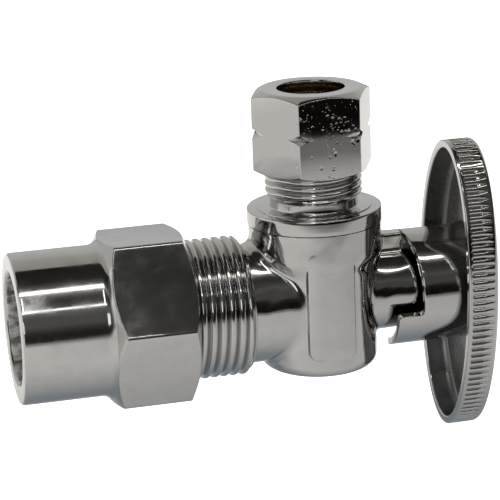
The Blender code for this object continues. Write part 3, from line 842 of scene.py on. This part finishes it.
def make_ball_and_stem():
    moving = "handle_and_stem"
    profile = []
    for angle in np.linspace(math.pi / 2, -math.pi / 2, 49):
        radius = BALL_R * math.cos(angle) if abs(angle) < 1.57 else 0
        profile.append((radius, BALL_R * math.sin(angle), 0))
    ball = turned("ball", profile, False, turn(PLAIN_TURN))
    combine(ball, bar(BALL_BORE_R, 0, BALL_REACH, False), "DIFFERENCE")
    combine(ball, bar(BALL_BORE_R, -BALL_REACH, 1, True), "DIFFERENCE")
    combine(ball, block("slot", (4.0, -1.5, -6), (BALL_REACH, 1.5, 6)), "DIFFERENCE")
    finish_piece(tilt(ball), "ball", moving, TURNED_Z)

    profile = [(0, STEM_END, 0), (STEM_R, STEM_END, 0.2)]
    for _, groove in STEM_GROOVES:
        near, far = groove - 0.7, groove + 0.7
        profile += [(STEM_R, far, 0.06), (2.4, far, 0.15), (2.4, near, 0.15), (STEM_R, near, 0.06)]
    profile += [(STEM_R, 7.6, 0.1), (4.3, 7.6, 0.1), (4.3, 6.5, 0.1), (0, 6.5, 0)]
    stem = turned("stem", profile, True, turn(SMALL_TURN))
    combine(stem, block("blade", (4.2, -1.3, -3.4), (7.0, 1.3, 3.4)), "UNION")
    combine(stem, block("square", (16.0, -2.4, -2.4), (20.9, 2.4, 2.4)), "UNION")
    combine(stem, bar(1.65, 15.5, 22, True), "DIFFERENCE")
    finish_piece(tilt(stem), "stem", moving, BRASS_TARNISH_AND_SHADE)
    for node, groove in reversed(STEM_GROOVES):
        make_oring(node, moving, 3.03, O_RING_R, groove, True, tilted=True)


def skirt_end(angles):
    """Station of the skirt's end round the hub: two tabs that reach further than the cut-outs."""
    notch = 13.4 + 0.7 * np.abs(np.cos(angles))
    end = np.full(len(angles), SKIRT_END)
    inner_round, tip_round = 0.7, 0.5
    for start, stop in CUT_OUTS:
        centre = math.radians((start + stop) / 2)
        half = math.radians((stop - start) / 2)
        away = np.abs((angles - centre + math.pi) % (2 * math.pi) - math.pi)
        into = (half - away) * HUB_R
        corner = np.clip(inner_round - into, 0, inner_round)
        cut = notch - inner_round + np.sqrt(inner_round**2 - corner**2)
        end = np.where(into > 0, cut, end)
        tip = np.clip(into + tip_round, 0, tip_round)
        rounded = SKIRT_END + tip_round - np.sqrt(tip_round**2 - tip**2)
        end = np.where((into <= 0) & (into > -tip_round), rounded, end)
    return end


def hub_angles():
    """Columns round the hub, close together where the tabs begin and end."""
    angles = list(turn(FINE_TURN))
    near = np.concatenate([np.linspace(-0.8, 0.8, 29), [-0.002, 0.002]]) / HUB_R
    for edges in CUT_OUTS:
        for edge in edges:
            angles += list(math.radians(edge) + near)
    return np.unique(np.round(np.array(angles) % (2 * math.pi), 6))


def oval_rows():
    """Rows of the handle's oval shell, from the middle of its back to the middle of its front."""
    fine = np.linspace(0, 2 * math.pi, 20001)
    path = np.stack([-OVAL_HALF_WIDTH * np.cos(fine), OVAL_HALF_HEIGHT * np.sin(fine)], -1)
    length = np.concatenate([[0], np.cumsum(np.linalg.norm(np.diff(path, axis=0), axis=1))])
    swing = np.radians((-90, -62, -32, 0, 32, 62, 90))
    columns = np.concatenate([[0.0], 0.5 + RIB_SHARE / 2 * np.sin(swing)])
    sunk_by = np.tile(np.concatenate([[1.0], 1 - np.cos(swing)]), RIBS)
    shares = (np.repeat(np.arange(RIBS), len(columns)) + np.tile(columns, RIBS)) / RIBS
    t = np.interp(shares * length[-1], length, fine)
    edge = np.stack([-OVAL_HALF_WIDTH * np.cos(t), OVAL_HALF_HEIGHT * np.sin(t)], -1)
    outwards = edge / np.array([OVAL_HALF_WIDTH**2, OVAL_HALF_HEIGHT**2])
    outwards /= np.linalg.norm(outwards, axis=1)[:, None]
    edge = edge - np.array([0, OVAL_DROP])

    corners = [(-FACE_EDGE, OVAL_FLOOR, 0), (-OVAL_WALL, OVAL_FLOOR, 1.9)]
    corners += [(-OVAL_WALL, OVAL_BACK, 0.3), (0, OVAL_BACK, 0.3)]
    for station in (20.42, 20.52, 20.6, 20.7, 20.9, 21.6, 22.3, 22.5, 22.62):
        corners.append((0, station, 0))
    corners += [(0, OVAL_FRONT, 1.75), (-FACE_EDGE, OVAL_FRONT, 0)]
    profile = soften(corners, len(t), False, 9)
    offset, station = profile[..., 0], profile[..., 1]
    window = np.clip((station - 20.5) / 0.16, 0, 1) * np.clip((23.0 - station) / 0.45, 0, 1)
    window = np.where(offset > -0.9, window, 0)
    offset = offset - RIB_DEPTH * sunk_by * window
    flat = edge + outwards * offset[..., None]
    rim = np.concatenate([station[..., None], flat], -1)

    heading = np.arctan2(edge[:, 1], edge[:, 0])
    circle = 7.0 * np.stack([np.cos(heading), np.sin(heading)], -1)

    def face(start, stops):
        """Rows from the rim to a circle round the middle, by (share of the way, station)."""
        rows = []
        for share, height in stops:
            spot = start[:, 1:] * (1 - share) + circle * share
            rows.append(np.concatenate([np.full((len(t), 1), height), spot], -1))
        middle = np.zeros((len(t), 3))
        middle[:, 0] = stops[-1][1]
        return rows + [middle]

    back = face(rim[0], [(share, OVAL_FLOOR) for share in (0.2, 0.4, 0.6, 0.8, 1.0)])
    sunk = OVAL_FRONT - 0.3
    front = face(
        rim[-1],
        [(0.05, OVAL_FRONT - 0.01), (0.09, OVAL_FRONT - 0.08), (0.13, sunk + 0.06), (0.18, sunk)]
        + [(0.35, sunk), (0.55, sunk), (0.75, sunk)]
        + [(0.84, sunk), (0.89, sunk + 0.06), (0.93, OVAL_FRONT - 0.08), (0.97, OVAL_FRONT - 0.01)]
        + [(1.0, OVAL_FRONT)],
    )
    return np.array(back[::-1] + list(rim) + front)


def make_handle():
    moving = "handle_and_stem"
    handle = skin("oval", oval_rows(), False)
    angles = hub_angles()
    end = skirt_end(angles)
    inside_web = 24.1
    foot_r = HUB_R + 1.6
    hub = [(0, inside_web, 0), (foot_r, inside_web, 0), (foot_r, OVAL_FLOOR + 0.02, 0)]
    hub += [(HUB_R, OVAL_FLOOR + 0.02, 1.5), (HUB_R, 15.2, 0), (HUB_R, end, 0.2)]
    hub += [(HUB_BORE_R, end, 0.2), (HUB_BORE_R, 15.3, 0), (HUB_BORE_R, HUB_FLOOR, 0.5)]
    hub += [(0, HUB_FLOOR, 0)]
    combine(handle, turned("hub", hub, True, angles), "UNION")
    combine(handle, block("drive", (HUB_FLOOR - 1, -2.55, -2.55), (22.2, 2.55, 2.55)), "DIFFERENCE")
    well = [(0, 25.8, 0), (6.2, 25.8, 0), (6.2, 24.0, 0.1), (4.6, 24.0, 0.1), (4.6, 21.2, 0.3)]
    well += [(0, 21.2, 0)]
    combine(handle, turned("well", well, True, turn(SMALL_TURN)), "DIFFERENCE")
    # Faces in the handle's hollow, which get the chrome with painted shade
    hollow = []
    for polygon in handle.data.polygons:
        middle = (np.array(polygon.center) - ORIGIN) / MM
        across = middle[1] / (OVAL_HALF_WIDTH - 0.9)
        up = (middle[2] + OVAL_DROP) / (OVAL_HALF_HEIGHT - 0.9)
        inside = math.hypot(across, up) < 1 and 20.2 < middle[0] < OVAL_FLOOR + 0.1
        if inside and math.hypot(middle[1], middle[2]) > HUB_R + 0.1:
            hollow.append(polygon.index)
    finish_piece(tilt(handle), "handle", moving, CAST, 38)
    handle.data.materials.append(HOLLOW_PAINTED_SHADE)
    for index in hollow:
        handle.data.polygons[index].material_index = 1

    screw = [(0, 23.8, 0), (2.4, 23.8, 0.2), (2.9, 23.2, 0.2), (2.9, 22.15, 0.1), (1.5, 22.15, 0.15)]
    pitch = 0.7
    for number in range(7):
        station = 21.6 - number * pitch
        screw += [(1.5, station, 0.08), (1.2, station - pitch / 2, 0.08)]
    screw += [(1.1, 16.9, 0.1), (0, 16.9, 0)]
    screw = turned("screw", screw, True, turn(SMALL_TURN))
    socket_corner = 1.0 / math.cos(math.radians(30))
    socket = [(0, 25, 0), (socket_corner, 25, 0), (socket_corner, 22.9, 0), (0, 22.9, 0)]
    combine(screw, turned("socket", socket, True, turn(6)), "DIFFERENCE")
    finish_piece(tilt(screw), "handle_screw", moving, STEEL)

    washer = [(4.2, 22.0, 0.15), (4.2, 21.4, 0.15), (1.75, 21.4, 0.1), (1.75, 22.0, 0.1)]
    washer = turned("washer", washer, True, turn(SMALL_TURN))
    finish_piece(tilt(washer), "screw_washer", moving, STEEL)

    cap = [(0, 25.1, 0), (2.6, 25.08, 0.8), (4.6, 24.97, 0.5), (5.0, 24.86, 0.15)]
    cap += [(5.2, 24.86, 0.1), (5.9, 24.8, 0.22), (5.9, 24.2, 0.1), (4.3, 24.2, 0.1)]
    cap += [(4.3, 22.6, 0.15), (3.5, 22.6, 0.1), (3.5, 24.2, 0.2), (0, 24.2, 0)]
    finish_piece(tilt(turned("cap", cap, True)), "handle_cap", moving, TURNED_X)


# ---------------------------------------------------------------- studio


def glow_material(name):
    """Light given off as a mesh's own colours say."""
    material = bpy.data.materials.new(name)
    material.use_nodes = True
    tree = material.node_tree
    tree.nodes.clear()
    colour = tree.nodes.new("ShaderNodeVertexColor")
    colour.layer_name = "glow"
    emission = tree.nodes.new("ShaderNodeEmission")
    output = tree.nodes.new("ShaderNodeOutputMaterial")
    tree.links.new(colour.outputs["Color"], emission.inputs["Color"])
    tree.links.new(emission.outputs["Emission"], output.inputs["Surface"])
    return material


def card(name, rows, glow):
    """Card that only reflections see, lit by one colour for each of its points."""
    count, columns = rows.shape[:2]
    index = np.arange(count * columns).reshape(count, columns)
    quads = np.stack([index[:-1, :-1], index[:-1, 1:], index[1:, 1:], index[1:, :-1]], -1)
    obj = add_mesh(name, place(rows.reshape(-1, 3)), quads.reshape(-1, 4))
    layer = obj.data.color_attributes.new("glow", "FLOAT_COLOR", "POINT")
    rgba = np.ones((count * columns, 4), np.float32)
    rgba[:, :3] = glow.reshape(-1, 3)
    layer.data.foreach_set("color", rgba.ravel())
    obj.data.materials.append(GLOW)
    obj.visible_camera = False
    obj.visible_diffuse = False
    obj.visible_shadow = False


GLOW = glow_material("card_glow")
FLOOR_Z = -24.0
DOME_R = 600.0
DOME_HALF_LENGTH = 900.0
LAMP_GAP = 8

# What the reflections see round the X axis, from the front horizon (0 degrees) over the top (90)
# to the back horizon (180): angle and colour
DOME = (
    (-9.0, (0.018, 0.014, 0.012)),
    (4.0, (0.030, 0.024, 0.021)),
    (10.0, (0.062, 0.052, 0.048)),
    (17.0, (0.12, 0.115, 0.105)),
    (28.0, (0.115, 0.112, 0.108)),
    (34.0, (0.155, 0.155, 0.15)),
    (42.0, (0.09, 0.088, 0.082)),
    (46.0, (0.08, 0.078, 0.07)),
    (51.5, (0.05, 0.052, 0.046)),
    (58.0, (0.085, 0.083, 0.075)),
    (63.0, (0.30, 0.28, 0.25)),
    (66.0, (0.42, 0.40, 0.37)),
    (72.0, (0.17, 0.165, 0.155)),
    (77.0, (0.10, 0.098, 0.094)),
    (83.0, (0.030, 0.030, 0.028)),
    (108.5, (0.020, 0.019, 0.016)),
    (110.8, (0.030, 0.030, 0.030)),
    (112.0, (0.44, 0.42, 0.385)),
    (134.0, (0.52, 0.50, 0.47)),
    (143.0, (0.62, 0.61, 0.59)),
    (168.0, (0.62, 0.62, 0.61)),
    (176.0, (0.45, 0.46, 0.47)),
    (189.0, (0.6, 0.6, 0.6)),
)
# Lamps inside the dome: angles round X in degrees, reach along X and brightness
LAMPS = {
    "lamp_upper": ((66.0, 71.0), (-260.0, 460.0), (4.6, 4.45, 4.2)),
    "lamp_lower": ((38.8, 40.4), (-260.0, 85.0), (4.6, 4.65, 4.4)),
    "lamp_tall": ((38.0, 62.0), (-135.0, -95.0), (5.5, 5.5, 5.8)),
    "window_left": ((9.0, 26.0), (-560.0, -170.0), (1.5, 1.52, 1.6)),
}


def on_dome(angles, across, radius):
    """Rows of points of a part of the dome, from angles round X and places along X."""
    rows = np.zeros((len(angles), len(across), 3))
    rows[..., 0] = across
    rows[..., 1] = -radius * np.cos(angles)[:, None]
    rows[..., 2] = radius * np.sin(angles)[:, None]
    return rows


def make_dome():
    angles = []
    colours = []
    for (start, first), (end, last) in zip(DOME[:-1], DOME[1:]):
        for share in np.linspace(0, 1, 4)[:-1]:
            angles.append(math.radians(start + (end - start) * share))
            colours.append(np.array(first) * (1 - share) + np.array(last) * share)
    angles.append(math.radians(DOME[-1][0]))
    colours.append(np.array(DOME[-1][1]))
    angles = np.array(angles)
    across = np.linspace(-DOME_HALF_LENGTH, DOME_HALF_LENGTH, 19)
    # The front is dimmer towards the handle's side, most of all low down
    to_right = np.clip(across / 150, 0, 1)
    front = (angles < math.radians(60))[:, None]
    low = (angles < math.radians(14))[:, None]
    dim = 1 - to_right * (0.3 * front + 0.45 * low)
    glow = np.array(colours)[:, None] * dim[..., None]
    card("studio_dome", on_dome(angles, across, DOME_R), glow)
    for name, (arc, reach, colour) in LAMPS.items():
        rows = on_dome(np.radians(np.linspace(*arc, 6)), np.linspace(*reach, 5), DOME_R - LAMP_GAP)
        card(name, rows, np.ones((6, 5, 1)) * np.array(colour))
    for side in (-1, 1):
        height = np.linspace(-60, DOME_R, 12)[:, None]
        depth = np.linspace(-DOME_R, DOME_R, 12)
        end = np.zeros((12, 12, 3))
        end[..., 0] = side * DOME_HALF_LENGTH
        end[..., 1] = depth
        end[..., 2] = height
        if side < 0:
            # Beyond the inlet it is bright, except high up and in front
            low_down = np.clip((430 - height) / 120, 0, 1)
            not_in_front = np.clip((depth + 330) / 100, 0, 1)
            shade = 0.12 + 0.95 * low_down * not_in_front
        else:
            # Beyond the handle it is bright only high up at the back
            at_the_back = np.clip((depth - 150) / 150, 0, 1)
            high_up = np.clip((height - 60) / 120, 0, 1)
            shade = 0.04 + 0.5 * at_the_back * high_up
        card("studio_end", end, shade[..., None] * np.array([1, 0.99, 0.97]))


def make_table():
    """What reflections see below: a pale table that ends in front, with a painted shadow of the valve
    under it.
    """
    across = np.concatenate([[-900, -500, -300], np.linspace(-120, 120, 41), [300, 900]])
    along = np.concatenate([np.linspace(-240, -70, 35), np.linspace(-60, 120, 46), [200, 600]])
    x, y = np.meshgrid(across, along)
    # Painted shadow of the valve on the table: a dark bluish pool under and just behind it
    beside = np.maximum(np.abs(x + 10) - 36, 0) / 18
    painted_shadow = np.exp(-(((y - 6) / 20) ** 2) - beside**2)
    warm = np.array([0.82, 0.80, 0.775])
    painted_shadow_colour = np.array([0.26, 0.29, 0.32])
    glow = warm + (painted_shadow_colour - warm) * painted_shadow[..., None]
    glow = glow * (1 + 0.25 * np.clip((y - 50) / 60, 0, 1)[..., None])
    front = np.clip((15 - y) / 60, 0, 1)
    glow = glow * (1 - 0.26 * front * np.clip((x + 60) / 110, 0, 1))[..., None]
    edge = -214 + 14 * np.clip((x + 40) / 120, 0, 1)
    fall = np.interp(y - edge, (-20, -5, 48, 66, 98), (0.0, 0.36, 0.38, 0.62, 1.0))
    glow = glow * fall[..., None] + 0.006
    rows = np.stack([x, y, np.full_like(x, FLOOR_Z)], -1)
    card("studio_table_painted_shadow", rows, glow)


def make_floor():
    """Pale ground that the camera sees and the chrome does not."""
    size = 4000.0
    spots = np.array([[-size, -size], [size, -size], [size, size], [-size, size]])
    corners = np.concatenate([spots, np.full((4, 1), FLOOR_Z - 0.2)], -1)
    floor = add_mesh("floor", place(corners), np.array([[0, 1, 2, 3]]))
    material = bpy.data.materials.new("pale_floor")
    material.use_nodes = True
    shader = material.node_tree.nodes["Principled BSDF"]
    shader.inputs["Base Color"].default_value = (0.9, 0.9, 0.9, 1)
    shader.inputs["Roughness"].default_value = 0.9
    shader.inputs["Emission Color"].default_value = (1, 1, 1, 1)
    shader.inputs["Emission Strength"].default_value = 0.75
    floor.data.materials.append(material)
    floor.visible_glossy = False


def make_light():
    """Even white light from all round, which the chrome does not reflect."""
    world = bpy.data.worlds.new("soft_white")
    bpy.context.scene.world = world
    world.use_nodes = True
    world.node_tree.nodes["Background"].inputs["Color"].default_value = (1, 1, 1, 1)
    world.node_tree.nodes["Background"].inputs["Strength"].default_value = 1.0
    world.cycles_visibility.glossy = False
    bpy.context.scene.view_settings.view_transform = "Standard"


# ---------------------------------------------------------------- camera

# Place in the frame in millimetres. In degrees: the heading from +Y towards +X, how far down the
# camera looks and how far it leans to its right
CAMERA_PLACE = (-33.77, -284.69, 92.91)
CAMERA_AZIMUTH = 13.675
CAMERA_ELEVATION = 16.148
CAMERA_ROLL = 2.218
CAMERA_LENS = 149.86


def make_camera():
    azimuth, elevation, roll = (
        math.radians(a) for a in (CAMERA_AZIMUTH, CAMERA_ELEVATION, CAMERA_ROLL)
    )
    view = Vector(
        (
            math.sin(azimuth) * math.cos(elevation),
            math.cos(azimuth) * math.cos(elevation),
            -math.sin(elevation),
        )
    )
    right = Vector((math.cos(azimuth), -math.sin(azimuth), 0))
    up = right.cross(view)
    rolled_right = right * math.cos(roll) - up * math.sin(roll)
    rolled_up = up * math.cos(roll) + right * math.sin(roll)
    data = bpy.data.cameras.new("camera")
    data.lens = CAMERA_LENS
    data.sensor_width = 36.0
    data.clip_start = 0.01
    data.clip_end = 20.0
    camera = bpy.data.objects.new("camera", data)
    bpy.context.scene.collection.objects.link(camera)
    matrix = Matrix.Identity(4)
    for column, vector in enumerate((rolled_right, rolled_up, -view, Vector(CAMERA_PLACE) * MM)):
        for row in range(3):
            matrix[row][column] = vector[row]
    camera.matrix_world = matrix
    bpy.context.scene.camera = camera


make_camera()
make_body()
make_outlet_adapter()
make_inlet_nut()
make_outlet_nut()
make_ferrules()
make_seals()
make_ball_and_stem()
make_handle()
make_dome()
make_table()
make_floor()
make_light()
